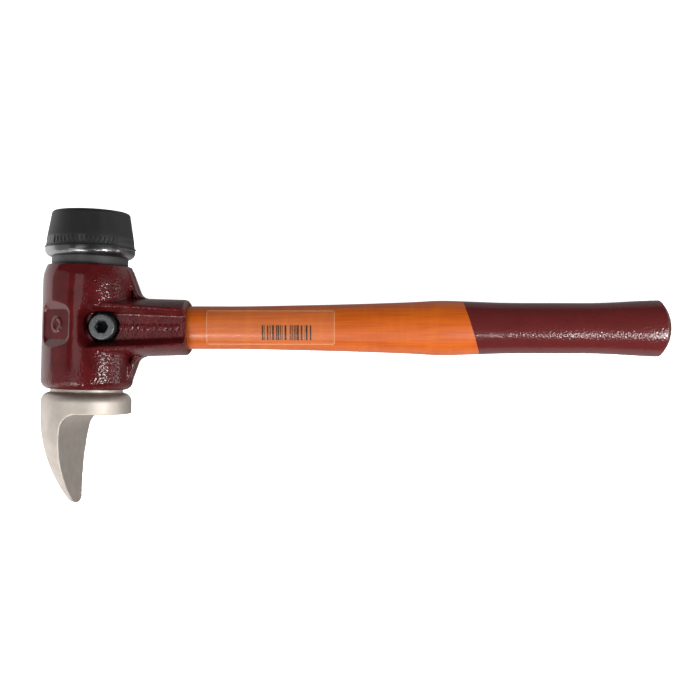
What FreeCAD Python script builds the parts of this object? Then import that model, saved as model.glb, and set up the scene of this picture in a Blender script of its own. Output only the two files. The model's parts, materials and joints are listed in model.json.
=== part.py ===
import FreeCAD, Part
import math
import os

# A soft-faced hammer with a steel claw, lying on its side.
# Two cast half shells are drawn together by one cap screw. Between them they grip
# a rubber striking insert, a steel claw insert and a wooden handle.
# Lengths are in millimetres and angles in degrees. The head's axis is Y, with the
# rubber face at +Y, the handle runs along +X and the screw's head faces +Z.

os.makedirs("parts", exist_ok=True)

# Handle against head: the handle leans towards the rubber face
handle_lean = 1.45

# Cast barrel, which holds the two inserts
barrel_radius = 23.4
barrel_half_length = 32.0
barrel_low_corner = 4.6
barrel_taper_length = 9.5
barrel_taper_inset = 1.7
barrel_taper_middle_share = 0.25
barrel_top_corner = 1.0
parting_gap = 1.0

# Insert shanks and their bores
shank_radius = 18.35
shank_length = 15.2
shank_clearance = 0.05
shank_end_gap = 0.3
shank_end_chamfer = 0.8

# Cast collar round the handle's neck, and the ridge that runs back over the barrel
collar_reach = 52.6
collar_start = 2.0
collar_end_half_height = 14.25
collar_start_half_height = 15.9
collar_flank_inset = 1.1
collar_flank_share = 0.55
ridge_end_height = 17.0
ridge_end_half_width = 8.9
ridge_start_drop = 1.9
ridge_start_half_width = 13.0
collar_end_chamfer = 1.2

# Open channel along the ridge, with sloping walls
channel_left = 1.8
channel_near_half_width = 7.3
channel_far_half_width = 5.2
channel_corner = 4.0
channel_left_slope = 2.0
channel_near_slope = 4.3
channel_far_slope = 9.3
channel_corner_growth = 1.5

# Flanged gussets between barrel and collar; the one on the claw's side is the narrower
gusset_top_drop = 1.6
gusset_top_inset = 0.7
gusset_low_inset = 1.1
gusset_top_corner = 2.2
gusset_foot_reach = 27.3
gusset_foot_fillet = 4.6
gusset_thickness = 3.5
gusset_rim_height = 7.0
gusset_rim_width = 2.0
gusset_root_reach = 12.0

# Flat pad let into the barrel on the side away from the handle
pad_turn = 35.0
pad_depth = 3.0
pad_width = 18.6
pad_length = 15.5
pad_corner = 3.0
pad_side_slope = 0.8
pad_end_slope = 3.9
pad_centre = 1.0

# Clamp screw, its lock washer and its nut
screw_reach = 11.0
screw_diameter = 8.0
screw_length = 30.0
screw_head_diameter = 13.0
screw_head_height = 8.0
screw_head_chamfer = 0.7
screw_socket_flats = 6.0
screw_socket_depth = 4.5
screw_tip_chamfer = 0.9
screw_hole_clearance = 0.4
washer_diameter = 12.7
washer_thickness = 2.0
washer_bore_clearance = 0.15
washer_split = 1.0
washer_split_turn = 20.0
nut_flats = 13.0
nut_height = 6.8
nut_chamfer = 0.8
nut_bore_clearance = 0.05
nut_pocket_clearance = 0.1
head_pocket_flats = 15.6
pocket_depth = 4.5
seat_wall = 3.2

# Wooden handle: oval from the collar to the butt, flat-sided tenon inside the head
handle_length = 303.0
neck_height = 22.3
neck_depth = 19.0
swell_height = 28.5
swell_depth = 23.6
waist_height = 26.4
waist_depth = 21.8
butt_height = 29.7
butt_depth = 24.6
butt_dome = 6.2
butt_corner = 1.8
tenon_height = 18.0
tenon_depth = 11.0
tenon_corner = 2.5
tenon_back = 4.5
tenon_shoulder = 24.0
tenon_hole_clearance = 0.35
eye_clearance = 0.3

# Stations of the oval along the handle: reach as a share of the handle's length,
# then the share of the way from one named section to the next
neck_to_swell_shares = [(0.362, 0.19), (0.431, 0.35), (0.513, 0.60), (0.555, 0.76)]
swell_to_waist_shares = [(0.658, 0.40), (0.704, 0.86)]
waist_to_butt_shares = [(0.885, 0.10), (0.932, 0.55), (0.968, 0.90)]
neck_end_share = 0.25
neck_station_count = 7
swell_share = 0.605
waist_share = 0.80

# Clear film label on the front of the handle, placed by a share of the handle's length
label_start_share = 0.206
label_length = 66.0
label_half_width = 8.7
label_corner = 1.0
label_thickness = 0.12
label_glue = 0.08

# Rubber insert, with its heights above the barrel's end
face_radius = 20.0
face_edge = 2.0
face_height = 28.0
flank_knee_radius = 22.2
flank_knee_height = 13.0
flash_height = 8.9
flash_radius = 23.2
flash_thickness = 0.5
flare_radius_share = 0.4
flare_height_share = 0.6
bead_radius = 22.7
bead_bottom = 4.0
bead_mid_height = 6.6
rubber_neck_radius = 19.4
rubber_seat_gap = 0.1

# Claw insert: a turned blank with a round back and a hollowed inner face. Its shank
# stands out of the barrel a little, and the beak is measured from under the plate.
claw_turn = 6.5
claw_stand_off = 1.7
plate_radius = 23.0
plate_thickness = 10.6
plate_top_corner = 4.6
plate_bottom_corner = 1.3
beak_root = 4.3
ogive_start = 0.3
ogive_radius = 74.0
tip_start = 45.3
tip_end = 47.1
tip_radius_share = 0.62
tip_height_share = 0.72
inner_arc_radius = 90.0
inner_arc_middle = 21.2
inner_arc_inset = 6.9
inner_fillet = 9.0

# One overrun serves every cut, and points nearer than touching count as one
overrun = 2.0
touching = 1e-5

V = FreeCAD.Vector
X_AXIS = V(1, 0, 0)
Y_AXIS = V(0, 1, 0)
Z_AXIS = V(0, 0, 1)
ORIGIN = V(0, 0, 0)

# Heights above the parting plane that several pieces share
half_gap = parting_gap / 2
seat_height = tenon_depth / 2 + eye_clearance + seat_wall
channel_floor = seat_height + pocket_depth
channel_top = barrel_radius + overrun
bore_radius = shank_radius + shank_clearance
plate_top = barrel_half_length + claw_stand_off
plate_bottom = plate_top + plate_thickness


def between(first, last, share):
    """The value a share of the way from the first to the last."""
    return first + share * (last - first)


def outline(start, *steps):
    """A closed wire: each step is a point for a line, or a pair of points for an arc."""
    edges = []
    here = start
    for step in steps:
        if isinstance(step, tuple):
            middle, there = step
            edges.append(Part.Arc(here, middle, there).toShape())
        else:
            there = step
            edges.append(Part.makeLine(here, there))
        here = there
    if here.distanceToPoint(start) > touching:
        edges.append(Part.makeLine(here, start))
    return Part.Wire(edges)


def on_arc(centre, radius, degrees):
    """A point of a circle in the XY plane."""
    turn = math.radians(degrees)
    return centre + V(radius * math.cos(turn), radius * math.sin(turn), 0)


def arc_step(centre, radius, first, last):
    """The middle and the end of an arc, for use as a step of an outline."""
    return (on_arc(centre, radius, (first + last) / 2), on_arc(centre, radius, last))


def turned(profile):
    """A closed profile in the XY plane, turned about Y."""
    return Part.Face(profile).revolve(ORIGIN, Y_AXIS, 360)


def rod(radius, low, high, x=0):
    """A cylinder along Z between two heights."""
    return Part.makeCylinder(radius, high - low, V(x, 0, low), Z_AXIS)


def rounded_rectangle(half_x, half_y, corner, z):
    """A wire round the origin, with rounded corners, in a plane square to Z."""
    right, top = half_x - corner, half_y - corner
    return outline(
        V(-right, -half_y, z), V(right, -half_y, z),
        arc_step(V(right, -top, z), corner, -90, 0), V(half_x, top, z),
        arc_step(V(right, top, z), corner, 0, 90), V(-right, half_y, z),
        arc_step(V(-right, top, z), corner, 90, 180), V(-half_x, -top, z),
        arc_step(V(-right, -top, z), corner, 180, 270))


def hexagon(flats, low, high, x=0):
    """A hexagonal prism along Z with two corners on the X axis."""
    centre = V(x, 0, low)
    reach = flats / 2 / math.cos(math.radians(30))
    corners = [on_arc(centre, reach, 60 * k) for k in range(6)]
    return Part.Face(outline(corners[0], *corners[1:])).extrude(V(0, 0, high - low))


def leaned(shape):
    """A shape made along X, turned to the handle's own direction."""
    moved = shape.copy()
    moved.rotate(ORIGIN, Z_AXIS, handle_lean)
    return moved


def barrel():
    """The cylinder that holds the inserts: rounded below, drawn in a little above."""
    top = barrel_half_length
    low_centre = V(barrel_radius - barrel_low_corner, -top + barrel_low_corner, 0)
    taper_start = top - barrel_taper_length
    taper_middle = V(
        barrel_radius - barrel_taper_inset * barrel_taper_middle_share, top - barrel_taper_length / 2, 0)
    rim_radius = barrel_radius - barrel_taper_inset
    rim = V(rim_radius, top - barrel_top_corner, 0)
    profile = outline(
        V(0, -top, 0), V(low_centre.x, -top, 0), arc_step(low_centre, barrel_low_corner, -90, 0),
        V(barrel_radius, taper_start, 0), (taper_middle, rim),
        arc_step(V(rim.x - barrel_top_corner, rim.y, 0), barrel_top_corner, 0, 90), V(0, top, 0))
    return turned(profile)


def collar_section(x, half_height, crest_height, crest_half_width, inset=0):
    """One upper half section of the collar, square to the handle."""
    side = half_height - inset
    crest = crest_height - inset
    flank_y = side - collar_flank_inset
    flank_z = crest * collar_flank_share
    return outline(
        V(x, -side, 0), (V(x, -flank_y, flank_z), V(x, -crest_half_width, crest)),
        V(x, crest_half_width, crest), (V(x, flank_y, flank_z), V(x, side, 0)))


def collar():
    """The collar and the ridge behind it, tapering towards the handle."""
    root = (collar_start_half_height, barrel_radius - ridge_start_drop, ridge_start_half_width)
    mouth = (collar_end_half_height, ridge_end_height, ridge_end_half_width)
    shoulder_x = collar_reach - collar_end_chamfer
    share = (shoulder_x - collar_start) / (collar_reach - collar_start)
    start = collar_section(collar_start, *root)
    shoulder = collar_section(shoulder_x, *[between(a, b, share) for a, b in zip(root, mouth)])
    end = collar_section(collar_reach, *mouth, collar_end_chamfer)
    body = Part.makeLoft([start, shoulder], True, True)
    return body.fuse(Part.makeLoft([shoulder, end], True, True))


def gusset(inset=0):
    """A flanged gusset above the collar, set in a little: a thin floor with a rim along its edge."""
    foot_y = collar_start_half_height - collar_flank_inset / 2
    foot = V(gusset_foot_reach - inset, foot_y, 0)
    top = V(barrel_radius - gusset_top_inset - inset, barrel_half_length - gusset_top_drop, 0)
    slope = math.degrees(math.atan2(foot.x - top.x, top.y - foot.y))
    tangent = gusset_foot_fillet * math.tan(math.radians(90 - slope) / 2)
    centre = V(foot.x + tangent, foot_y + gusset_foot_fillet, 0)
    corner_centre = V(top.x - gusset_top_corner, top.y - gusset_top_corner, 0)

    def edge(rim_width):
        """The outline, without a rim of this width."""
        fillet = gusset_foot_fillet + rim_width
        corner = gusset_top_corner - rim_width
        return outline(
            V(gusset_root_reach, 0, 0), V(centre.x, 0, 0), V(centre.x, foot_y - rim_width, 0),
            arc_step(centre, fillet, 270, 180 + slope),
            on_arc(corner_centre, corner, slope),
            arc_step(corner_centre, corner, slope, 90),
            V(gusset_root_reach, top.y - rim_width, 0))

    plate = Part.Face(edge(0)).extrude(V(0, 0, gusset_rim_height))
    hollow = Part.Face(edge(gusset_rim_width)).extrude(V(0, 0, gusset_rim_height))
    hollow.translate(V(0, 0, gusset_thickness))
    return plate.cut(hollow)


def channel_outline(left, near_half_width, far_half_width, corner, z):
    """The channel's outline at one height: rounded behind the screw, open at the far end."""
    far = collar_reach + overrun
    top = V(left + corner, near_half_width - corner, z)
    low = V(left + corner, corner - near_half_width, z)
    return outline(
        V(far, -far_half_width, z), V(far, far_half_width, z), V(top.x, near_half_width, z),
        arc_step(top, corner, 90, 180), V(left, low.y, z), arc_step(low, corner, 180, 270))


def channel():
    """What is cut out along the ridge."""
    floor = channel_outline(
        channel_left, channel_near_half_width, channel_far_half_width, channel_corner, channel_floor)
    rim = channel_outline(
        channel_left - channel_left_slope, channel_near_half_width + channel_near_slope,
        channel_far_half_width + channel_far_slope, channel_corner + channel_corner_growth, channel_top)
    return Part.makeLoft([floor, rim], True, True)


def pad():
    """What is cut out for the flat pad, with sloping walls."""
    floor = rounded_rectangle(pad_width / 2, pad_length / 2, pad_corner, barrel_radius - pad_depth)
    rim = rounded_rectangle(
        pad_width / 2 + pad_side_slope, pad_length / 2 + pad_end_slope, pad_corner + pad_side_slope,
        barrel_radius)
    cutter = Part.makeLoft([floor, rim], True, True)
    cutter.translate(V(0, pad_centre, 0))
    cutter.rotate(ORIGIN, Y_AXIS, -pad_turn)
    return cutter


def insert_bore(side):
    """The bore for one insert, at the top (1) or the bottom (-1) of the barrel."""
    depth = shank_length + shank_end_gap
    bore = Part.makeCylinder(bore_radius, depth + overrun, V(0, barrel_half_length - depth, 0), Y_AXIS)
    if side < 0:
        bore = bore.mirror(ORIGIN, Y_AXIS)
    return bore


def oval(x, height, depth):
    """An oval section of the handle, as a wire."""
    ellipse = Part.Ellipse(V(x, height / 2, 0), V(x, 0, depth / 2), V(x, 0, 0))
    return Part.Wire([ellipse.toShape()])


def tenon(grow=0):
    """The flat-sided end of the handle inside the head."""
    wire = rounded_rectangle(tenon_depth / 2 + grow, tenon_height / 2 + grow, tenon_corner + grow, 0)
    length = tenon_back + grow + tenon_shoulder + overrun
    block = Part.Face(wire).extrude(V(0, 0, length))
    block.rotate(ORIGIN, Y_AXIS, 90)
    block.translate(V(-tenon_back - grow, 0, 0))
    return block


def eye():
    """The space in the head for the tenon and the handle's neck."""
    start = tenon_shoulder - eye_clearance
    wire = oval(start, neck_height + 2 * eye_clearance, neck_depth + 2 * eye_clearance)
    neck = Part.Face(wire).extrude(V(collar_reach - start + overrun, 0, 0))
    return tenon(eye_clearance).fuse(neck)


def housing_half(pocket_flats):
    """The half shell on the +Z side, with a hexagonal pocket for the screw head or the nut."""
    low_gusset = gusset(gusset_low_inset).mirror(ORIGIN, Y_AXIS)
    body = barrel().fuse([leaned(collar()), leaned(gusset()), leaned(low_gusset)])
    hole = rod(screw_diameter / 2 + screw_hole_clearance, 0, channel_floor, screw_reach)
    pocket = hexagon(pocket_flats, seat_height, channel_floor + overrun, screw_reach)
    cutters = [insert_bore(1), insert_bore(-1), pad()]
    cutters += [leaned(shape) for shape in (channel(), eye(), hole, pocket)]
    body = body.cut(cutters)
    reach = collar_reach + barrel_radius + overrun
    below = Part.makeBox(2 * reach, 2 * reach, reach, V(-reach, -reach, half_gap - reach))
    return body.cut(below).removeSplitter()


def housing_front_half():
    return housing_half(head_pocket_flats)


def housing_back_half():
    return housing_half(nut_flats + 2 * nut_pocket_clearance).mirror(ORIGIN, Z_AXIS)


def clamp_screw():
    """A socket head cap screw, head up."""
    seat = seat_height + washer_thickness
    head_top = seat + screw_head_height
    head = rod(screw_head_diameter / 2, seat, head_top, screw_reach)
    top_edge = [edge for edge in head.Edges if edge.BoundBox.ZMin > head_top - screw_head_chamfer]
    head = head.makeFillet(screw_head_chamfer, top_edge)
    tip = seat - screw_length
    shank = rod(screw_diameter / 2, tip, seat + overrun, screw_reach)
    tip_edge = [edge for edge in shank.Edges if edge.BoundBox.ZMax < tip + screw_tip_chamfer]
    shank = shank.makeChamfer(screw_tip_chamfer, tip_edge)
    socket = hexagon(screw_socket_flats, head_top - screw_socket_depth, head_top + overrun, screw_reach)
    return leaned(head.fuse(shank).cut(socket))


def lock_washer():
    """A split spring washer between the screw's head and the front half."""
    outside = rod(washer_diameter / 2, seat_height, seat_height + washer_thickness)
    bore = rod(screw_diameter / 2 + washer_bore_clearance, 0, channel_top)
    split = Part.makeBox(washer_diameter, washer_split, channel_top, V(0, -washer_split / 2, 0))
    split.rotate(V(washer_diameter / 2, 0, seat_height), X_AXIS, washer_split_turn)
    ring = outside.cut([bore, split])
    ring.translate(V(screw_reach, 0, 0))
    return leaned(ring)


def clamp_nut():
    """A hexagon nut in the pocket of the back half, its outer corners turned off at 45 degrees."""
    low = -seat_height - nut_height
    body = hexagon(nut_flats, low, -seat_height, screw_reach)
    small = nut_flats / 2 / math.cos(math.radians(30)) - nut_chamfer
    cone = Part.makeCone(small, small + nut_height, nut_height, V(screw_reach, 0, low), Z_AXIS)
    bore = rod(screw_diameter / 2 + nut_bore_clearance, low - overrun, 0, screw_reach)
    return leaned(body.common(cone).cut(bore))


def handle_blank(grow=0):
    """The oval length of the handle, from the tenon's shoulder to the butt."""
    neck = (neck_height, neck_depth)
    swell = (swell_height, swell_depth)
    waist = (waist_height, waist_depth)
    butt = (butt_height, butt_depth)
    neck_end = neck_end_share * handle_length
    last = neck_station_count - 1
    stations = [(between(tenon_shoulder, neck_end, k / last), neck) for k in range(neck_station_count)]
    legs = [(neck, swell, neck_to_swell_shares, swell_share),
            (swell, waist, swell_to_waist_shares, waist_share),
            (waist, butt, waist_to_butt_shares, 1)]
    for near, far, shares, end_share in legs:
        for reach_share, share in shares:
            size = tuple(between(a, b, share) for a, b in zip(near, far))
            stations.append((reach_share * handle_length, size))
        stations.append((end_share * handle_length, far))
    wires = [oval(x, height + 2 * grow, depth + 2 * grow) for x, (height, depth) in stations]
    return Part.makeLoft(wires, True, False)


def handle():
    """The wooden handle, with its domed butt and the cross hole for the screw."""
    radius = (butt_height ** 2 / 4 + butt_dome ** 2) / (2 * butt_dome)
    middle = V(handle_length - radius, 0, 0)
    ball = Part.makeSphere(radius, middle)
    ball.rotate(middle, Z_AXIS, 180)
    stem = Part.makeBox(middle.x, 2 * radius, 2 * radius, V(0, -radius, -radius))
    blank = handle_blank().common(stem.fuse(ball)).Solids[0]
    rim = [edge for edge in blank.Edges if edge.BoundBox.XMin > handle_length - butt_dome - butt_corner
           and edge.BoundBox.YLength > edge.BoundBox.XLength]
    blank = blank.makeFillet(butt_corner, rim)
    hole = rod(screw_diameter / 2 + tenon_hole_clearance, -tenon_depth, tenon_depth, screw_reach)
    return leaned(blank.fuse(tenon()).cut(hole))


def handle_label():
    """A clear film glued on the front of the handle."""
    wire = rounded_rectangle(label_length / 2, label_half_width, label_corner, 0)
    area = Part.Face(wire).extrude(V(0, 0, swell_depth))
    area.translate(V(label_start_share * handle_length + label_length / 2, 0, 0))
    film = handle_blank(label_glue + label_thickness).common(area)
    return leaned(film.cut(handle_blank(label_glue)))


def rubber_insert():
    """A moulded rubber head with a shank: crowned edge, flared flank, flash line and bead."""
    edge_centre = V(face_radius - face_edge, face_height - face_edge, 0)
    flare_radius = between(flank_knee_radius, bead_radius, flare_radius_share)
    flare_height = between(flank_knee_height, flash_height, flare_height_share)
    flash_top = flash_height + flash_thickness
    profile = outline(
        V(0, -shank_length, 0), V(shank_radius - shank_end_chamfer, -shank_length, 0),
        V(shank_radius, shank_end_chamfer - shank_length, 0), V(shank_radius, rubber_seat_gap, 0),
        V(rubber_neck_radius, rubber_seat_gap, 0), V(rubber_neck_radius, bead_bottom, 0),
        (V(bead_radius, bead_mid_height, 0), V(bead_radius, flash_height, 0)),
        V(flash_radius, flash_height, 0), V(flash_radius, flash_top, 0), V(bead_radius, flash_top, 0),
        (V(flare_radius, flare_height, 0), V(flank_knee_radius, flank_knee_height, 0)),
        V(face_radius, edge_centre.y, 0), arc_step(edge_centre, face_edge, 0, 90), V(0, face_height, 0))
    insert = turned(profile)
    insert.translate(V(0, barrel_half_length, 0))
    return insert


def claw_blank():
    """The turned beak: as thick as the plate at its root, drawn to a blunt point."""
    centre = V(plate_radius - ogive_radius, -ogive_start, 0)
    turn = math.degrees(math.asin((tip_start - ogive_start) / ogive_radius))
    tip = on_arc(centre, ogive_radius, -turn)
    tip_middle = V(tip.x * tip_radius_share, -between(tip_start, tip_end, tip_height_share), 0)
    profile = outline(
        V(0, beak_root, 0), V(plate_radius, beak_root, 0), V(plate_radius, -ogive_start, 0),
        arc_step(centre, ogive_radius, 0, -turn), (tip_middle, V(0, -tip_end, 0)))
    return turned(profile)


def claw_hollow():
    """What is milled off the beak: a long shallow hollow with a fillet under the plate."""
    arc_centre = V(inner_arc_radius - inner_arc_inset, -inner_arc_middle, 0)
    rise = inner_arc_middle - inner_fillet
    fillet_x = arc_centre.x - math.sqrt((inner_arc_radius - inner_fillet) ** 2 - rise ** 2)
    fillet_centre = V(fillet_x, -inner_fillet, 0)
    meet = 180 - math.degrees(math.atan2(rise, arc_centre.x - fillet_x))
    low = tip_end + overrun
    last = 180 + math.degrees(math.asin((low - inner_arc_middle) / inner_arc_radius))
    reach = plate_radius + overrun
    wire = outline(
        V(reach, 0, 0), V(fillet_x, 0, 0),
        arc_step(fillet_centre, inner_fillet, 90, meet),
        arc_step(arc_centre, inner_arc_radius, meet, last),
        V(reach, -low, 0))
    block = Part.Face(wire).extrude(V(0, 0, 2 * reach))
    block.translate(V(0, 0, -reach))
    return block


def claw_insert():
    """The steel claw insert: shank, plate and beak, turned in its seat."""
    shank_end = barrel_half_length - shank_length
    top_centre = V(plate_radius - plate_top_corner, -plate_top - plate_top_corner, 0)
    low_centre = V(plate_radius - plate_bottom_corner, -plate_bottom + plate_bottom_corner, 0)
    profile = outline(
        V(0, -shank_end, 0), V(0, -plate_bottom, 0), V(low_centre.x, -plate_bottom, 0),
        arc_step(low_centre, plate_bottom_corner, -90, 0), V(plate_radius, top_centre.y, 0),
        arc_step(top_centre, plate_top_corner, 0, 90), V(shank_radius, -plate_top, 0),
        V(shank_radius, -shank_end - shank_end_chamfer, 0),
        V(shank_radius - shank_end_chamfer, -shank_end, 0))
    beak = claw_blank().cut(claw_hollow())
    beak.translate(V(0, -plate_bottom, 0))
    claw = turned(profile).fuse(beak).removeSplitter()
    claw.rotate(ORIGIN, Y_AXIS, -claw_turn)
    return claw


NODES = {
    "housing_front_half": housing_front_half(),
    "housing_back_half": housing_back_half(),
    "clamp_screw": clamp_screw(),
    "lock_washer": lock_washer(),
    "clamp_nut": clamp_nut(),
    "rubber_insert": rubber_insert(),
    "claw_insert": claw_insert(),
    "handle": handle(),
    "handle_label": handle_label(),
}

# The origin goes to the middle of the underside of the whole hammer
whole = Part.makeCompound(list(NODES.values())).optimalBoundingBox(False)
base = V(-whole.Center.x, -whole.Center.y, -whole.ZMin)
for name, shape in NODES.items():
    placed = shape.copy()
    placed.translate(base)
    placed.exportStep("parts/" + name + ".step")
    print(name, len(placed.Solids), placed.isValid(), round(placed.Volume))
print("head axis and parting plane at", base)
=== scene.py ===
import json
import math

import bmesh
import bpy
import numpy as np
from mathutils import Matrix, Vector


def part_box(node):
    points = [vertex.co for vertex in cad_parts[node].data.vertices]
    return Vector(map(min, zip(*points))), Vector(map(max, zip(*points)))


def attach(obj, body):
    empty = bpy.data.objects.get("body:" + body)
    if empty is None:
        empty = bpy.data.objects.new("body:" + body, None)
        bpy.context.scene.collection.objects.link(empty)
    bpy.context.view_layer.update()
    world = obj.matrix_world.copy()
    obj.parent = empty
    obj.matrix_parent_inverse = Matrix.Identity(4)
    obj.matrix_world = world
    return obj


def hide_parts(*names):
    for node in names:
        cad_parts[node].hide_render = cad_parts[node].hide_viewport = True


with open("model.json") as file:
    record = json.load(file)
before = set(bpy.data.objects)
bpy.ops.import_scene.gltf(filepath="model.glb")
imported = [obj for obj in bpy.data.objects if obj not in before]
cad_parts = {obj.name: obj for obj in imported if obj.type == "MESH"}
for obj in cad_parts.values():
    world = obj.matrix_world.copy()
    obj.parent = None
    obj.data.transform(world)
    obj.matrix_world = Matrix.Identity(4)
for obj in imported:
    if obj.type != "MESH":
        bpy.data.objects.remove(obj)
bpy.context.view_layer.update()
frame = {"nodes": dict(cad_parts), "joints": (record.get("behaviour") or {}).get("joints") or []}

# Handle: one length of ash with an oval section that swells under the palm, and a flat-sided
# tenon that the head clamps. It has a clear orange lacquer all over, and its grip was then
# dipped at a slant in dark red paint, which ends in a thin raised edge.
mm = 0.001
lean = math.radians(1.45)
screw_reach = 11.0
# Both places are in millimetres: the first axis runs to the butt, the second to the rubber
# face, and the third up. The handle leans a little towards the rubber.
pivots = {joint["name"]: Vector(joint["pos_m"]) for joint in frame["joints"] if "pos_m" in joint}
screw_aside = screw_reach * mm * math.sin(lean)
head_centre = Vector((pivots["claw_turn"].x, pivots["screw_turn"].y - screw_aside, pivots["claw_turn"].z))
head_place = Matrix.Translation(head_centre) @ Matrix.Scale(mm, 4)
handle_place = Matrix.Translation(head_centre) @ Matrix.Rotation(lean, 4, "Z") @ Matrix.Scale(mm, 4)


class Signal:
    """A node's output that works in expressions: arithmetic adds Math nodes, add() any other."""

    def __init__(self, tree, socket):
        self.tree = tree
        self.socket = socket

    def add(self, kind, settings, sockets, out=0):
        """Adds a node: its settings first, then the values or links of its sockets."""
        node = self.tree.nodes.new(kind)
        for name, value in settings.items():
            setattr(node, name, value)
        for name, value in sockets.items():
            socket = next(s for s in node.inputs if s.enabled and name in (s.identifier, s.name))
            if isinstance(value, Signal):
                self.tree.links.new(value.socket, socket)
            else:
                socket.default_value = value
        return Signal(self.tree, node.outputs[out]) if node.outputs else None

    def math(self, operation, *values):
        names = ("Value", "Value_001")
        return self.add("ShaderNodeMath", {"operation": operation}, dict(zip(names, values)))

    def __add__(self, other):
        return self.math("ADD", self, other)

    def __sub__(self, other):
        return self.math("SUBTRACT", self, other)

    def __rsub__(self, other):
        return self.math("SUBTRACT", other, self)

    def __mul__(self, other):
        return self.math("MULTIPLY", self, other)

    def __truediv__(self, other):
        return self.math("DIVIDE", self, other)

    __radd__ = __add__
    __rmul__ = __mul__

    def size(self):
        return self.math("ABSOLUTE", self)

    def larger(self, other):
        return self.math("MAXIMUM", self, other)

    def cosine(self):
        return self.math("COSINE", self)

    def sine(self):
        return self.math("SINE", self)

    def rise(self, first, last):
        """A smooth step from 0 at first to 1 at last."""
        return self.add("ShaderNodeMapRange", {"interpolation_type": "SMOOTHSTEP"},
                        {"Value": self, "From Min": first, "From Max": last})

    def mix(self, without, full):
        """The colour without this signal, going over to the full one."""
        return self.add("ShaderNodeMix", {"data_type": "RGBA"},
                        {"Factor_Float": self, "A_Color": without, "B_Color": full}, out=2)

    def stretched(self, *factors):
        return self.add("ShaderNodeVectorMath", {"operation": "MULTIPLY"},
                        {"Vector": self, "Vector_001": factors})

    def parts(self):
        """The three coordinates of a place."""
        split = self.add("ShaderNodeSeparateXYZ", {}, {"Vector": self})
        return [Signal(self.tree, socket) for socket in split.socket.node.outputs]

    def noise(self, wavelength, detail):
        return self.add("ShaderNodeTexNoise", {}, {
            "Vector": self, "Scale": 1 / wavelength, "Detail": detail})

    def bump(self, height):
        """The normal of a surface that this signal raises by up to height, in millimetres."""
        return self.add("ShaderNodeBump", {}, {"Height": self, "Distance": height * mm})


def colour(red, green, blue):
    """A linear colour with full alpha, from the 8-bit values of a colour chart."""
    shares = [value / 255 for value in (red, green, blue)]
    return (*[s / 12.92 if s <= 0.04045 else ((s + 0.055) / 1.055) ** 2.4 for s in shares], 1)


def finish(name, place):
    """Begins a material: gives the signal of a point's coordinates, in millimetres of the place's frame."""
    material = bpy.data.materials.new(name)
    material.use_nodes = True
    material.node_tree.nodes.clear()
    start = Signal(material.node_tree, None)
    return start.add("ShaderNodeMapping", {"vector_type": "TEXTURE"}, {
        "Vector": start.add("ShaderNodeTexCoord", {}, {}, out=3), "Location": place.to_translation(),
        "Rotation": place.to_euler(), "Scale": place.to_scale()})


def surface(place, sockets):
    """Ends a material with its shader, and gives the material back."""
    shader = place.add("ShaderNodeBsdfPrincipled", {}, sockets)
    place.add("ShaderNodeOutputMaterial", {}, {"Surface": shader})
    return next(material for material in bpy.data.materials if material.node_tree == place.tree)


def ring_mesh(name, rings, place, looped=False):
    """A closed mesh through rings of equally many points, with its ends filled unless it loops."""
    count = len(rings[0])
    points = [place @ Vector(point) for ring in rings for point in ring]
    faces = []
    for k in range(len(rings) if looped else len(rings) - 1):
        here = k * count
        there = (k + 1) % len(rings) * count
        for i in range(count):
            j = (i + 1) % count
            faces.append((here + i, here + j, there + j, there + i))
    for start in () if looped else (0, len(points) - count):
        points.append(sum(points[start:start + count], Vector()) / count)
        for i in range(count):
            faces.append((start + i, start + (i + 1) % count, len(points) - 1))
    mesh = bpy.data.meshes.new(name)
    mesh.from_pydata(points, [], faces)
    shape = bmesh.new()
    shape.from_mesh(mesh)
    bmesh.ops.recalc_face_normals(shape, faces=shape.faces)
    shape.to_mesh(mesh)
    shape.free()
    return placed(name, mesh)


def placed(name, mesh):
    """A mesh in the scene, as an object at the origin."""
    piece = bpy.data.objects.new(name, mesh)
    bpy.context.scene.collection.objects.link(piece)
    return piece


def applied(piece):
    """The piece with its modifiers turned into plain mesh."""
    evaluated = piece.evaluated_get(bpy.context.evaluated_depsgraph_get())
    mesh = bpy.data.meshes.new_from_object(evaluated)
    piece.modifiers.clear()
    piece.data = mesh
    return piece


def finished(piece, material, body, slot, *nodes, sharp=35):
    """Gives a piece its material, its place in the frame, and crisp edges above sharp degrees."""
    piece.data.materials.clear()
    piece.data.materials.append(material)
    piece.data.shade_smooth()
    piece.data.set_sharp_from_angle(angle=math.radians(sharp))
    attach(piece, body)
    if nodes:
        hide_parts(*nodes)


def between(first, last, share):
    """The value at a share of the way from the first to the last."""
    return first + share * (last - first)


# The oval's height and depth at four places, and how it goes over from each to the next
handle_length = 302.95
shoulder = 24.0
neck, swell, waist, butt = (22.3, 19.0), (28.5, 23.6), (26.4, 21.8), (29.7, 24.6)
neck_end_share = 0.25
leg_shares = [
    (neck, swell, [(0.362, 0.19), (0.431, 0.35), (0.513, 0.60), (0.555, 0.76), (0.605, 1.0)]),
    (swell, waist, [(0.658, 0.40), (0.704, 0.86), (0.80, 1.0)]),
    (waist, butt, [(0.885, 0.10), (0.932, 0.55), (0.968, 0.90), (1.0, 1.0)])]
neck_steps = 7
stations = [(reach, *neck) for reach in np.linspace(shoulder, neck_end_share * handle_length, neck_steps)]
for near, far, shares in leg_shares:
    for reach_share, share in shares:
        stations.append((reach_share * handle_length, *[between(a, b, share) for a, b in zip(near, far)]))
stations = np.array(stations)
station_slopes = np.gradient(stations[:, 1:], stations[:, 0], axis=0)


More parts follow.
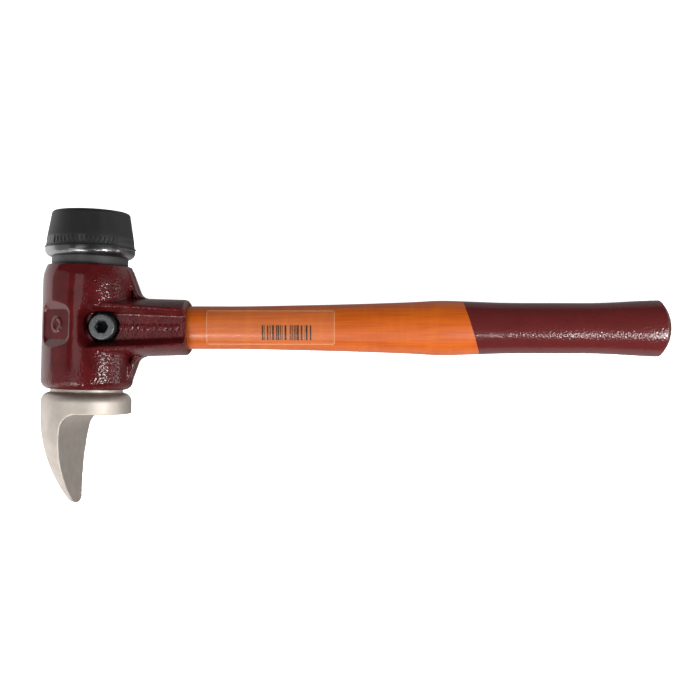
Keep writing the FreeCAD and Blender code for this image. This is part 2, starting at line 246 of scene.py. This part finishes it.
def half_sizes(reach):
    """Half the oval's height and depth at each reach, on a smooth curve through the stations."""
    k = np.clip(np.searchsorted(stations[:, 0], reach) - 1, 0, len(stations) - 2)
    span = (stations[k + 1, 0] - stations[k, 0])[..., None]
    t = (reach - stations[k, 0])[..., None] / span
    ends = (2 * t ** 3 - 3 * t ** 2 + 1) * stations[k, 1:] + (3 * t ** 2 - 2 * t ** 3) * stations[k + 1, 1:]
    slopes = (t ** 3 - 2 * t ** 2 + t) * station_slopes[k] + (t ** 3 - t ** 2) * station_slopes[k + 1]
    size = (ends + slopes * span) / 2
    return size[..., 0], size[..., 1]


def oval_ring(reach):
    """A ring of points on the handle's skin, each at its own reach."""
    height, depth = half_sizes(reach)
    return np.stack([reach, height * np.cos(angles), depth * np.sin(angles)], axis=-1)


around = 112
angles = np.linspace(0, 2 * np.pi, around, endpoint=False)
butt_dome = 6.2
dome_radius = (butt[0] ** 2 / 4 + butt_dome ** 2) / (2 * butt_dome)
dome_centre = handle_length - dome_radius
rim_y = butt[0] / 2 * np.cos(angles)
rim_z = butt[1] / 2 * np.sin(angles)
rim = dome_centre + np.sqrt(dome_radius ** 2 - rim_y ** 2 - rim_z ** 2)

# The tenon, then the shoulder and the long oval, then the domed end
tenon_back, tenon_half_height, tenon_half_depth, tenon_edge = -4.5, 9.0, 5.5, 0.6
tenon_power = 0.4
tenon_y = tenon_half_height * np.sign(np.cos(angles)) * np.abs(np.cos(angles)) ** tenon_power
tenon_z = tenon_half_depth * np.sign(np.sin(angles)) * np.abs(np.sin(angles)) ** tenon_power
tenon_rows = [(tenon_back, 0.92), (tenon_back + tenon_edge, 1.0), (between(tenon_back, shoulder, 0.5), 1.0),
              (shoulder, 1.0)]
rings = [np.stack([np.full(around, x), s * tenon_y, s * tenon_z], axis=-1) for x, s in tenon_rows]
long_rows = np.concatenate([np.linspace(0, 0.965, 120), np.linspace(0.97, 1, 24)])
rings.extend(oval_ring(shoulder + row * (rim - shoulder)) for row in long_rows)
dome_rows = np.concatenate([np.linspace(0.98, 0.86, 7), np.linspace(0.8, 0.08, 10)])
for row in dome_rows:
    x = dome_centre + np.sqrt(dome_radius ** 2 - (row * rim_y) ** 2 - (row * rim_z) ** 2)
    rings.append(np.stack([x, row * rim_y, row * rim_z], axis=-1))
handle = ring_mesh("handle_wood", rings, handle_place)

cross_hole_radius = 4.35
turn = np.linspace(0, 2 * np.pi, 48, endpoint=False)
hole = ring_mesh("cross_hole", [
    np.stack([screw_reach + cross_hole_radius * np.cos(turn), cross_hole_radius * np.sin(turn),
              np.full(len(turn), z)], axis=-1) for z in (-2 * tenon_half_depth, 2 * tenon_half_depth)],
    handle_place)
cut = handle.modifiers.new("cross_hole", "BOOLEAN")
cut.object = hole
cut.solver = "EXACT"
applied(handle)
bpy.data.objects.remove(hole)

# The rim of the butt is sanded round
rim_reach, rim_share = 1.6, 0.9
soft_rim = handle.vertex_groups.new(name="rim")
to_handle = handle_place.inverted()
for vertex in handle.data.vertices:
    x, y, z = to_handle @ vertex.co
    outward = math.hypot(2 * y / butt[0], 2 * z / butt[1])
    dome_x = dome_centre + math.sqrt(max(dome_radius ** 2 - y * y - z * z, 0))
    if outward > rim_share and abs(x - dome_x) < rim_reach:
        soft_rim.add([vertex.index], 1.0, "REPLACE")
rounding = handle.modifiers.new("rim", "SMOOTH")
rounding.vertex_group = soft_rim.name
rounding.iterations = 7
applied(handle)

wood = finish("lacquered_ash", handle_place)
along, across, up = wood.parts()
dip_reach, dip_slant, dip_bow, dip_waver = 199.2, 0.31, -0.05, 0.3
dip = along + across * dip_slant - up * dip_bow - dip_reach + wood.noise(6.0, 1.0) * dip_waver
painted = dip.rise(-0.1, 0.25)
fibres = wood.stretched(0.03, 0.9, 0.9).noise(1.0, 3.0)
pores = wood.stretched(0.07, 2.6, 2.6).noise(1.0, 2.0)
# The lighter cross-grain bands follow the ash's figure, and their lighter orange is a painted sheen
figure_and_sheen = wood.stretched(0.22, 0.05, 0.05).noise(1.0, 2.0)
orange = fibres.rise(0.35, 0.7).mix(colour(200, 92, 9), colour(183, 79, 6))
orange = (pores.rise(0.56, 0.72) * 0.22).mix(orange, colour(152, 56, 4))
orange = (figure_and_sheen.rise(0.4, 0.75) * 0.3).mix(orange, colour(212, 108, 20))
red = wood.noise(9.0, 2.0).mix(colour(84, 27, 28), colour(96, 35, 34))
dimples = wood.noise(0.95, 1.0)
# The paint has a thick edge, and dried coarser towards the butt
paint_edge, pore_depth = 0.35, 0.12
paint_grain = 0.5 + along.rise(110.0, 300.0) * 0.8
height = painted * (dimples * paint_grain + paint_edge) + (1 - painted) * pores * pore_depth
handle_finish = surface(wood, {
    "Base Color": painted.mix(orange, red),
    "Roughness": 0.42 - painted * 0.24,
    "Coat Weight": 0.35 - painted * 0.35, "Coat Roughness": 0.14,
    "Specular IOR Level": 0.55,
    "Normal": height.bump(0.12)})
finished(handle, handle_finish, "back_half", "lacquered_wood", "handle")


# Back half shell: a rough iron casting under thick maroon enamel. Barrel, collar, ridge and
# gussets are one piece; it carries the nut and one side of every bore. Its edges are cast
# round, and plain raised marks stand on the floor of its channel and on its pad.
barrel_half_length = 32.0
barrel_radius = 23.4
channel_floor = 13.5
pad_turn = 35.0
pad_depth = 3.0
pad_middle = 1.0
casting_voxel = 0.45
casting_rounds = 4


def grown(name, sizes, wire, material, place):
    """A mesh grown by Geometry Nodes in a frame of its own: sizes are the tree's named inputs."""
    tree = bpy.data.node_groups.new(name, "GeometryNodeTree")
    tree.interface.new_socket("Geometry", in_out="OUTPUT", socket_type="NodeSocketGeometry")
    kinds = {int: "NodeSocketInt", float: "NodeSocketFloat"}
    fields = [tree.interface.new_socket(label, in_out="INPUT", socket_type=kinds[type(value)])
              for label, value in sizes.items()]
    inputs = tree.nodes.new("NodeGroupInput")
    made = wire({label: Signal(tree, inputs.outputs[label]) for label in sizes})
    whole = made.add("GeometryNodeRealizeInstances", {}, {"Geometry": made})
    coated = whole.add("GeometryNodeSetMaterial", {}, {"Geometry": whole, "Material": material})
    coated.add("NodeGroupOutput", {}, {"Geometry": coated})
    piece = placed(name, bpy.data.meshes.new(name))
    modifier = piece.modifiers.new(name, "NODES")
    modifier.node_group = tree
    for field, value in zip(fields, sizes.values()):
        modifier[field.identifier] = value
    applied(piece)
    piece.data.transform(place)
    return piece


def cast_marks(sizes):
    """A row of low domes, each a little different from the next."""
    count, first, last = sizes["Count"], sizes["First"], sizes["Last"]
    row = count.add("GeometryNodeMeshLine", {"mode": "END_POINTS"}, {
        "Count": count,
        "Start Location": count.add("ShaderNodeCombineXYZ", {}, {"X": first, "Z": sizes["Floor"]}),
        "Offset": count.add("ShaderNodeCombineXYZ", {}, {"X": last, "Z": sizes["Floor"]})})
    dome = count.add("GeometryNodeMeshUVSphere", {}, {
        "Segments": 16, "Rings": 8, "Radius": sizes["Radius"]})
    width = count.add("FunctionNodeRandomValue", {"data_type": "FLOAT"}, {
        "Min_001": 0.7, "Max_001": 1.1, "Seed": sizes["Seed"]}, out=1)
    size = count.add("ShaderNodeCombineXYZ", {}, {"X": width, "Y": 1.5, "Z": sizes["Rise"]})
    return row.add("GeometryNodeInstanceOnPoints", {}, {"Points": row, "Instance": dome, "Scale": size})


def cast_ring(sizes):
    """A low raised ring, lying flat."""
    radius = sizes["Radius"]
    path = radius.add("GeometryNodeCurvePrimitiveCircle", {}, {"Resolution": 48, "Radius": radius})
    wall = path.add("GeometryNodeCurvePrimitiveCircle", {}, {"Resolution": 12, "Radius": sizes["Wall"]})
    return path.add("GeometryNodeCurveToMesh", {}, {"Curve": path, "Profile Curve": wall})


def cast_skin(name, node, voxel, rounds, marks=()):
    """A node's shape as poured metal: its marks are joined in, and its edges come out round."""
    shape = bmesh.new()
    shape.from_mesh(frame["nodes"][node].data)
    bmesh.ops.remove_doubles(shape, verts=shape.verts, dist=0.001 * mm)
    for mark in marks:
        shape.from_mesh(mark.data)
        bpy.data.objects.remove(mark)
    mesh = bpy.data.meshes.new(name)
    shape.to_mesh(mesh)
    shape.free()
    skin = placed(name, mesh)
    poured = skin.modifiers.new("poured", "REMESH")
    poured.mode = "VOXEL"
    poured.voxel_size = voxel * mm
    rounding = skin.modifiers.new("rounding", "SMOOTH")
    rounding.iterations = rounds
    applied(skin)
    low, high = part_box(node)
    for vertex in skin.data.vertices:
        vertex.co = [min(max(c, least), most) for c, least, most in zip(vertex.co, low, high)]
    return skin


def screw_distance_squared(along, across):
    """The square of the distance from the screw's axis, from the head's coordinates."""
    aside = along - screw_reach * math.cos(lean)
    beside = across - screw_reach * math.sin(lean)
    return aside * aside + beside * beside


enamel = finish("maroon_enamel", head_place)
peel = enamel.noise(2.4, 1.0)
pits = enamel.noise(1.05, 1.0)
waves = enamel.noise(7.0, 1.0)
along, across, up = enamel.parts()
# Painted shade: the screw's pocket is painted near black for the deep shade inside it, and the
# mould's sand left its coarsest skin on the collar's side and towards the claw
pocket_shade_full, pocket_shade_end = 8.83, 9.59
collar_side, claw_side = (1.0, 8.0), (-26.0, -17.0)
pocket_shade = 1 - screw_distance_squared(along, across).rise(pocket_shade_full ** 2, pocket_shade_end ** 2)
pocket_shade = pocket_shade * (1 - up.size().rise(channel_floor - 1.1, channel_floor - 0.1))
coarse = along.rise(*collar_side).larger(1 - across.rise(*claw_side))
maroon = waves.rise(0.3, 0.7).mix(colour(76, 18, 20), colour(87, 23, 25))
enamel_finish = surface(enamel, {
    "Base Color": pocket_shade.mix(maroon, colour(14, 8, 8)),
    "Roughness": 0.07 + pits * 0.05 + pocket_shade * 0.4,
    "Specular IOR Level": 0.33,
    "Normal": (peel * (0.1 + coarse * 0.2) + pits * (0.15 + coarse * 0.85)).bump(0.26)})


def housing(name, node, body, side):
    """One half shell with its marks: side is 1 for the front and -1 for the back."""
    facing = Matrix.Diagonal((1, 1, side, 1))
    row = grown(name + "_marks", {
        "Count": 11, "First": 19.5, "Last": 48.0, "Floor": channel_floor,
        "Radius": 0.95, "Rise": 0.75, "Seed": 4}, cast_marks, enamel_finish, handle_place @ facing)
    pad_floor = Matrix.Translation((0, pad_middle, barrel_radius - pad_depth))
    ring = grown(name + "_ring", {"Radius": 3.0, "Wall": 0.75}, cast_ring, enamel_finish,
                 head_place @ facing @ Matrix.Rotation(math.radians(-pad_turn), 4, "Y") @ pad_floor)
    skin = cast_skin(name, node, casting_voxel, casting_rounds, [row, ring])
    finished(skin, enamel_finish, body, "cast_housing", node, sharp=180)


housing("cast_back_half", "housing_back_half", "back_half", -1)


# Nut: a plain M8 hexagon nut in phosphated steel, dropped into its pocket in the back half,
# with its outer corners turned off and a countersunk thread.
screw_steel = finish("phosphated_steel", head_place)
speckle = screw_steel.noise(0.7, 3.0)
along, across, up = screw_steel.parts()
# Painted shade darkens the walls and the bottom of the screw's socket to near black
socket_shade_full, socket_shade_end = 2.83, 3.24
socket_shade_bottom, socket_shade_top = (13.0, 13.6), (18.3, 18.8)
socket_shade = 1 - screw_distance_squared(along, across).rise(socket_shade_full ** 2, socket_shade_end ** 2)
socket_shade = socket_shade * up.rise(*socket_shade_bottom) * (1 - up.rise(*socket_shade_top))
steel_grey = speckle.rise(0.3, 0.75).mix(colour(84, 86, 87), colour(124, 126, 127))
screw_finish = surface(screw_steel, {
    "Base Color": socket_shade.mix(steel_grey, colour(12, 11, 11)),
    "Metallic": 0.85,
    "Roughness": 0.38 + speckle * 0.15,
    "Normal": speckle.bump(0.03)})
seat_height = 9.0
nut_flats, nut_height, nut_chamfer = 13.0, 6.8, 0.8
thread_radius, thread_core = 4.0, 3.4
bolt_angles = np.linspace(0, 2 * np.pi, 96, endpoint=False)


def hexagon_reach(flats, bearings):
    """How far a hexagon reaches at each bearing, with two corners on the first axis."""
    return flats / 2 / np.cos(np.mod(bearings, np.pi / 3) - np.pi / 6)


def bolt_ring(reach, z):
    """A ring about the screw's axis, in the handle's frame."""
    reach = np.broadcast_to(reach, bolt_angles.shape)
    return np.stack([screw_reach + reach * np.cos(bolt_angles), reach * np.sin(bolt_angles),
                     np.full(len(bolt_angles), z)], axis=-1)


nut_hexagon = hexagon_reach(nut_flats, bolt_angles)
corner = nut_hexagon.max() - nut_chamfer
nut_low = -seat_height - nut_height
nut_rows = [(thread_radius, -seat_height - nut_chamfer), (thread_radius, nut_low + nut_chamfer),
            (thread_radius + nut_chamfer / 2, nut_low), (nut_flats / 2 - nut_chamfer / 2, nut_low)]
nut_rows += [(np.minimum(nut_hexagon, corner + rise), nut_low + rise)
             for rise in np.linspace(0, nut_chamfer, 7)]
nut_rows += [(nut_hexagon, -seat_height), (thread_radius + nut_chamfer / 2, -seat_height)]
nut = ring_mesh("hexagon_nut", [bolt_ring(reach, z) for reach, z in nut_rows], handle_place, looped=True)
finished(nut, screw_finish, "back_half", "screw_steel", "clamp_nut", sharp=25)


# Rubber insert: a moulded striking head on a plain shank that the two halves clamp. Its flank
# is drawn in towards the face, a thin flash runs round it where the mould parted, and plain
# moulded ticks stand above the flash. Below it a round bead overhangs the neck.
shank_radius, shank_length = 18.35, 15.2
face_radius, face_edge, face_height = 20.0, 2.0, 28.0
knee_radius, knee_height = 22.2, 13.0
flash_height, flash_radius, flash_thickness, flash_tear = 8.9, 23.2, 0.5, 0.12
bead_radius, bead_bottom, bead_middle = 22.7, 4.0, 6.6
neck_radius, shank_chamfer = 19.4, 0.8
tick_height, tick_length = 12.2, 4.0


def arc_through(first, middle, last, steps):
    """Points of the arc through three points, without its first."""
    (ax, ay), (bx, by), (cx, cy) = first, middle, last
    d = 2 * (ax * (by - cy) + bx * (cy - ay) + cx * (ay - by))
    a, b, c = ax * ax + ay * ay, bx * bx + by * by, cx * cx + cy * cy
    centre = Vector(((a * (by - cy) + b * (cy - ay) + c * (ay - by)) / d,
                     (a * (cx - bx) + b * (ax - cx) + c * (bx - ax)) / d))
    start, end = Vector(first) - centre, Vector(last) - centre
    sweep = start.angle_signed(end)
    return [tuple(centre + Matrix.Rotation(-sweep * k / steps, 2) @ start) for k in range(1, steps + 1)]


flare = (between(knee_radius, bead_radius, 0.4), between(knee_height, flash_height, 0.6))
flash_top = flash_height + flash_thickness
edge_inset = face_edge * (1 - math.sqrt(0.5))
edge_middle = (face_radius - edge_inset, face_height - edge_inset)
profile = [(shank_radius - shank_chamfer, -shank_length), (shank_radius, shank_chamfer - shank_length),
           (shank_radius, 0.1), (neck_radius, 0.1), (neck_radius, bead_bottom)]
profile += arc_through(profile[-1], (bead_radius, bead_middle), (bead_radius, flash_height), 12)
profile += [(flash_radius, flash_height + 0.1), (flash_radius, flash_top - 0.1), (bead_radius, flash_top)]
profile += arc_through(profile[-1], flare, (knee_radius, knee_height), 12)
profile += [(between(knee_radius, face_radius, share), between(knee_height, face_height - face_edge, share))
            for share in (0.25, 0.5, 0.75, 1.0)]
profile += arc_through(profile[-1], edge_middle, (face_radius - face_edge, face_height), 8)
profile += [(face_radius * share, face_height) for share in (0.8, 0.5, 0.2)]
sides = 192
turn = np.linspace(0, 2 * np.pi, sides, endpoint=False)
nicks = np.random.default_rng(5).normal(0, 1, sides)
nicks = sum(np.roll(nicks, k) for k in range(-2, 3)) / 5
rings = []
for radius, height in profile:
    torn = radius - np.abs(flash_tear * nicks * (radius > bead_radius + 0.1))
    rings.append(np.stack([torn * np.cos(turn), np.full(sides, barrel_half_length + height),
                           torn * np.sin(turn)], axis=-1))
rubber_head = ring_mesh("rubber_head", rings, head_place)

rubber = finish("black_rubber", head_place)
above = rubber.parts()[1] - barrel_half_length
below_bead = 1 - above.rise(bead_bottom - 0.3, bead_bottom + 0.4)
# Painted light: the neck is painted a lighter grey as a painted sheen of its gloss, and goes over to black
# near the housing as a painted shadow
neck_sheen_and_shadow = below_bead * above.rise(0.3, 2.0)
glossy = 1 - above.rise(flash_height - 0.6, flash_height + 0.4) - below_bead
tick_band = 1 - (above - tick_height).size().rise(tick_length / 2, tick_length / 2 + 0.5)
scuffs = rubber.noise(5.0, 4.0)
fine = rubber.noise(0.5, 2.0)
black = scuffs.rise(0.35, 0.75).mix(colour(21, 20, 20), colour(27, 26, 26))
rubber_finish = surface(rubber, {
    "Base Color": neck_sheen_and_shadow.mix(black, colour(55, 55, 54)),
    "Roughness": 0.52 - glossy * 0.24 + scuffs * 0.06,
    "Coat Weight": glossy + neck_sheen_and_shadow * 0.1 + tick_band * 0.25,
    "Coat Roughness": 0.23, "Coat IOR": 1.95,
    "Normal": (fine * 0.6 + scuffs * 0.4).bump(0.04)})
finished(rubber_head, rubber_finish, "rubber", "black_rubber", "rubber_insert")


def moulded_ticks(sizes):
    """Upright ticks on an arc about the third axis, the first one a little taller."""
    count, spread = sizes["Count"], sizes["Spread"]
    index = count.add("GeometryNodeInputIndex", {}, {})
    turned = sizes["Middle"] + (index / (count - 1) - 0.5) * spread
    row = count.add("GeometryNodeMeshLine", {}, {"Count": count})
    reach = sizes["Radius"]
    spot = count.add("ShaderNodeCombineXYZ", {}, {
        "X": reach * turned.cosine(), "Y": reach * turned.sine(), "Z": sizes["Height"]})
    row = row.add("GeometryNodeSetPosition", {}, {"Geometry": row, "Position": spot})
    tick = count.add("GeometryNodeMeshCube", {}, {"Size": (1.0, 0.75, tick_length)})
    tall = 1 - 0.28 * index.math("MINIMUM", index, 1.0)
    tilt = count.add("ShaderNodeCombineXYZ", {}, {"Y": sizes["Tilt"], "Z": turned})
    return row.add("GeometryNodeInstanceOnPoints", {}, {
        "Points": row, "Instance": tick, "Rotation": tilt,
        "Scale": count.add("ShaderNodeCombineXYZ", {}, {"X": 1.0, "Y": 1.0, "Z": tall})})


# The ticks' arc is drawn about the third axis, which then stands along the head
upright = Matrix(((1, 0, 0, 0), (0, 0, 1, 0), (0, -1, 0, 0), (0, 0, 0, 1)))
ticks = grown("rubber_ticks", {
    "Count": 15, "Spread": math.radians(84), "Middle": math.radians(-88), "Radius": 22.1,
    "Tilt": math.radians(-9), "Height": barrel_half_length + tick_height},
    moulded_ticks, rubber_finish, head_place @ upright)
softened = ticks.modifiers.new("softened", "BEVEL")
softened.width = 0.22 * mm
softened.segments = 2
applied(ticks)
finished(ticks, rubber_finish, "rubber", "black_rubber")


# Claw insert: turned from one stainless bar with its shank, then the beak's inner face was
# milled hollow and the whole was blasted to a warm satin. It turns in its bore when slack.
claw_steel = finish("blasted_stainless", head_place)
grains = claw_steel.noise(0.35, 2.0)
patches = claw_steel.noise(6.0, 3.0)
claw_finish = surface(claw_steel, {
    "Base Color": patches.rise(0.3, 0.75).mix(colour(196, 187, 177), colour(206, 198, 190)),
    "Metallic": 1.0,
    "Roughness": 0.5 + grains * 0.14,
    "Normal": grains.bump(0.035)})
claw = cast_skin("steel_claw", "claw_insert", 0.38, 2)
finished(claw, claw_finish, "claw", "claw_steel", "claw_insert", sharp=180)


# Front half shell: the twin of the back one, with a larger hexagonal pocket for the screw's
# head. It closes on the two inserts and the tenon, and a parting gap stays all round.
housing("cast_front_half", "housing_front_half", "front_half", 1)


# Lock washer: a spring ring of square wire, split across and phosphated like the screw. It
# lies under the screw's head and keeps the clamp from working loose.
washer = frame["nodes"]["lock_washer"]
washer.data.materials.clear()
washer.data.materials.append(screw_finish)


# Clamp screw: an M8 socket head cap screw, 30 mm long, that draws the halves together. Its
# head has a 6 mm hexagon socket and a knurled side, and its end shows past the nut.
head_radius, head_low, head_top, head_edge = 6.5, 11.0, 19.0, 0.7
socket_flats, socket_depth = 6.0, 4.5
screw_length, tip_bevel, plain_end, run_out = 30.0, 1.0, -7.0, 0.6
seat_bevel, side_radius, side_end = 0.35, head_radius - 0.15, head_top - 1.3
tip = head_low - screw_length
socket_reach = hexagon_reach(socket_flats, bolt_angles)
screw_rows = [(thread_core - tip_bevel, tip), (thread_core, tip + tip_bevel),
              (thread_core, plain_end - run_out), (thread_radius, plain_end), (thread_radius, head_low),
              (side_radius - seat_bevel, head_low), (side_radius, head_low + seat_bevel),
              (side_radius, side_end)]
screw_rows += [(head_radius - head_edge * (1 - math.sin(a)), head_top - head_edge * (1 - math.cos(a)))
               for a in np.linspace(math.pi / 2, 0, 7)]
# The socket's countersunk mouth: how much it widens, its least radius, and how far down
mouth = [(0.25, 3.35, 0.0), (0.0, 3.05, 0.3), (0.0, 0.0, 0.6)]
drill_point = 0.3
screw_rows += [(np.maximum(socket_reach + wider, least), head_top - down) for wider, least, down in mouth]
screw_rows += [(socket_reach, head_top - socket_depth),
               (socket_reach * 0.5, head_top - socket_depth - drill_point)]
screw = ring_mesh("cap_screw", [bolt_ring(reach, z) for reach, z in screw_rows], handle_place)
finished(screw, screw_finish, "screw", "screw_steel", "clamp_screw", sharp=28)


def knurl(sizes):
    """Fine upright ridges round the head's side."""
    count = sizes["Count"]
    index = count.add("GeometryNodeInputIndex", {}, {})
    turned = index * (2 * math.pi) / count
    row = count.add("GeometryNodeMeshLine", {}, {"Count": count})
    reach = sizes["Radius"]
    spot = count.add("ShaderNodeCombineXYZ", {}, {
        "X": reach * turned.cosine(), "Y": reach * turned.sine(), "Z": sizes["Middle"]})
    row = row.add("GeometryNodeSetPosition", {}, {"Geometry": row, "Position": spot})
    size = count.add("ShaderNodeCombineXYZ", {}, {
        "X": sizes["Width"], "Y": sizes["Width"], "Z": sizes["Length"]})
    ridge = count.add("GeometryNodeMeshCube", {}, {"Size": size})
    facing = count.add("ShaderNodeCombineXYZ", {}, {"Z": turned + math.pi / 4})
    return row.add("GeometryNodeInstanceOnPoints", {}, {
        "Points": row, "Instance": ridge, "Rotation": facing})


def thread(sizes):
    """One ridge wound up the screw's end."""
    turned, core = sizes["Turns"], sizes["Core"]
    path = turned.add("GeometryNodeCurveSpiral", {}, {
        "Resolution": 40, "Rotations": turned, "Start Radius": core, "End Radius": core,
        "Height": sizes["Length"]})
    path = path.add("GeometryNodeSetCurveNormal", {"mode": "Z_UP"}, {"Curve": path})
    ridge = path.add("GeometryNodeCurvePrimitiveCircle", {}, {"Resolution": 4, "Radius": sizes["Crest"]})
    return path.add("GeometryNodeCurveToMesh", {}, {
        "Curve": path, "Profile Curve": ridge, "Fill Caps": True})


bolt_place = handle_place @ Matrix.Translation((screw_reach, 0, 0))
thread_start = Matrix.Translation((0, 0, tip + 1.1))
ridges = grown("screw_knurl", {
    "Count": 64, "Radius": head_radius - 0.2, "Width": 0.27, "Length": 6.2, "Middle": 14.6},
    knurl, screw_finish, bolt_place)
finished(ridges, screw_finish, "screw", "screw_steel")
pitch = 1.25
turns = 8.0
winding = grown("screw_thread", {
    "Turns": turns, "Core": thread_core, "Crest": 0.58, "Length": turns * pitch},
    thread, screw_finish, bolt_place @ thread_start)
finished(winding, screw_finish, "screw", "screw_steel")


# Label: a clear film glued along the front of the handle, with a plain row of bars printed
# on it. It shows by its cut edge and a faint haze.
label_start, label_length, label_half_width, label_corner = 0.206 * handle_length, 66.0, 8.7, 1.0
label_lift, label_thickness = 0.08, 0.12
corner_rows = label_corner / label_half_width * np.linspace(0.1, 1, 8)
rows_y = np.concatenate([[-1], corner_rows - 1, np.linspace(-0.8, 0.8, 25),
                         1 - corner_rows[::-1], [1]]) * label_half_width
columns = np.linspace(0, 1, 90)
points, faces = [], []
for y in rows_y:
    past = max(abs(y) - label_half_width + label_corner, 0)
    inset = label_corner - math.sqrt(label_corner ** 2 - past ** 2)
    for share in columns:
        x = between(label_start + inset, label_start + label_length - inset, share)
        half_height, half_depth = (float(size) for size in half_sizes(np.array(x)))
        foot = Vector((x, y, half_depth * math.sqrt(1 - (y / half_height) ** 2)))
        outward = Vector((0, y / half_height ** 2, foot.z / half_depth ** 2)).normalized()
        points.append(handle_place @ (foot + outward * label_lift))
for row in range(len(rows_y) - 1):
    for k in range(len(columns) - 1):
        start = row * len(columns) + k
        faces.append((start, start + 1, start + len(columns) + 1, start + len(columns)))
mesh = bpy.data.meshes.new("label_film")
mesh.from_pydata(points, [], faces)
film = placed("label_film", mesh)
thick = film.modifiers.new("thick", "SOLIDIFY")
thick.thickness = label_thickness * mm
thick.offset = 1
applied(film)

clear = finish("clear_film", handle_place)
along, across, up = clear.parts()
outside = ((along - label_start - label_length / 2).size() - label_length / 2).larger(
    across.size() - label_half_width)
edge = outside.rise(-0.55, -0.2)
bars_start, bars_end, bars_low, bars_high = 91.0, 117.0, -6.6, 1.2
side_blur, end_blur = 0.1, 0.15
bar_rate = 1.1
pattern = clear.add("ShaderNodeTexNoise", {"noise_dimensions": "1D"}, {
    "W": along, "Scale": bar_rate, "Detail": 2.0})
inside = along.rise(bars_start, bars_start + side_blur) * (1 - along.rise(bars_end - side_blur, bars_end))
inside = inside * across.rise(bars_low, bars_low + end_blur)
inside = inside * (1 - across.rise(bars_high - end_blur, bars_high))
printed = pattern.rise(0.5, 0.54) * inside
film_finish = surface(clear, {
    "Base Color": printed.mix(colour(250, 190, 140), colour(52, 26, 12)),
    "Roughness": 0.3,
    "Alpha": 0.05 + edge * 0.3 + printed * 0.85,
    "Coat Weight": 0.3, "Coat Roughness": 0.15})
finished(film, film_finish, "back_half", "label_film", "handle_label")


# Floor: a wide sheet of white paper, with a white dome behind it for a studio's even backdrop.
# Both show pure white and don't light the hammer, which the lamps and the room do.
paper = finish("white_paper", Matrix.Scale(mm, 4))
paper_finish = surface(paper, {
    "Base Color": colour(235, 235, 235), "Roughness": 0.8, "Specular IOR Level": 0.1,
    "Emission Color": (1, 1, 1, 1), "Emission Strength": 1.0})
room_radius, floor_drop = 3.0, 0.0002
floor_mesh = bpy.data.meshes.new("floor")
floor_mesh.from_pydata([(x * room_radius, y * room_radius, -floor_drop)
                        for x, y in ((-1, -1), (1, -1), (1, 1), (-1, 1))], [], [(0, 1, 2, 3)])
dome = bmesh.new()
bmesh.ops.create_uvsphere(dome, u_segments=48, v_segments=24, radius=room_radius)
dome_mesh = bpy.data.meshes.new("dome")
dome.to_mesh(dome_mesh)
dome.free()
for name, mesh in (("floor", floor_mesh), ("dome", dome_mesh)):
    mesh.materials.append(paper_finish)
    stage = placed(name, mesh)
    stage.visible_glossy = stage.visible_diffuse = stage.visible_shadow = False


# Light: soft boxes round the hammer and a small lamp near its handle, all turned towards it.
# Two of them light it without showing in its gloss. The room is dim, and a white bench
# shines up from below, more on some sides than on others.
def soft_box(name, place, width, height, power, shine=True):
    """A lamp that faces the hammer, sized in metres; without shine it stays out of reflections."""
    lamp = bpy.data.lights.new(name, "AREA")
    lamp.shape = "RECTANGLE"
    lamp.size, lamp.size_y = width, height
    lamp.energy = power
    box = placed(name, lamp)
    box.location = place
    box.rotation_euler = (-Vector(place)).to_track_quat("-Z", "Y").to_euler()
    box.visible_glossy = shine


soft_box("main_window", (-0.40, -0.69, 0.83), 0.4, 0.4, 5.7)
soft_box("low_window", (-0.78, -0.80, 0.44), 0.09, 0.09, 0.8)
soft_box("bench_lamp", (-0.96, -0.66, 0.22), 0.1, 0.08, 0.5)
soft_box("left_window", (-0.74, -0.40, 0.83), 0.4, 0.4, 1.0)
soft_box("high_window", (0.43, -0.47, 0.95), 0.12, 0.12, 2.0)
soft_box("ceiling", (-0.40, 0.05, 1.05), 0.8, 0.36, 1.15)
soft_box("left_lamp", (-0.85, -0.10, 0.35), 0.15, 0.15, 0.8, shine=False)
soft_box("left_wall", (-1.05, -0.05, 0.47), 1.2, 0.95, 1.7)
soft_box("near_lamp", (0.37, -0.13, 0.43), 0.13, 0.06, 2.1)
soft_box("right_window", (0.86, 0.0, 0.70), 0.8, 0.8, 1.3)
soft_box("right_wall", (1.10, -0.15, 0.05), 0.35, 0.2, 2.0)
soft_box("back_window", (-0.1, 1.1, 0.3), 0.7, 0.4, 1.0, shine=False)

world = bpy.data.worlds.new("room")
world.use_nodes = True
background = world.node_tree.nodes["Background"].inputs
background["Color"].default_value = (1, 1, 1, 1)
# Each ray's direction sets the light that it meets: east is the butt's way, north the rubber's
room = Signal(world.node_tree, None).add("ShaderNodeTexCoord", {}, {})
east, north, high = room.parts()
west_share = (0 - east).larger(0.0)
south_share = (0 - north).larger(0.0)
bench = high.math("LESS_THAN", high, 0.0)
north_glow = north.rise(0.05, 0.5) * (0.2 + east * 0.6)
south_glow = south_share.rise(0.05, 0.5) * 0.28 + south_share * south_share * 0.35
west_glow = west_share.rise(0.25, 0.5) * 0.25 + west_share * west_share * 1.5
east_glow = east.rise(0.7, 0.9) * 0.12
least_glow, room_glow = 0.14, 0.05
glow = bench * (north_glow + south_glow + west_glow + east_glow + least_glow) + (1 - bench) * room_glow
world.node_tree.links.new(glow.socket, background["Strength"])
bpy.context.scene.world = world
bpy.context.scene.view_settings.view_transform = "Standard"

# Camera: straight above the parting plane, turned with the handle
lens = bpy.data.cameras.new("camera")
lens.lens = 54.67
lens.sensor_width = 36
camera_reach, camera_aside, camera_height = 136.25, -11.5, 554.0
camera_turn = math.radians(0.09)
camera = placed("camera", lens)
camera.location = handle_place @ Vector((camera_reach, camera_aside, camera_height))
camera.rotation_euler = (0, 0, lean + camera_turn)
bpy.context.scene.camera = camera
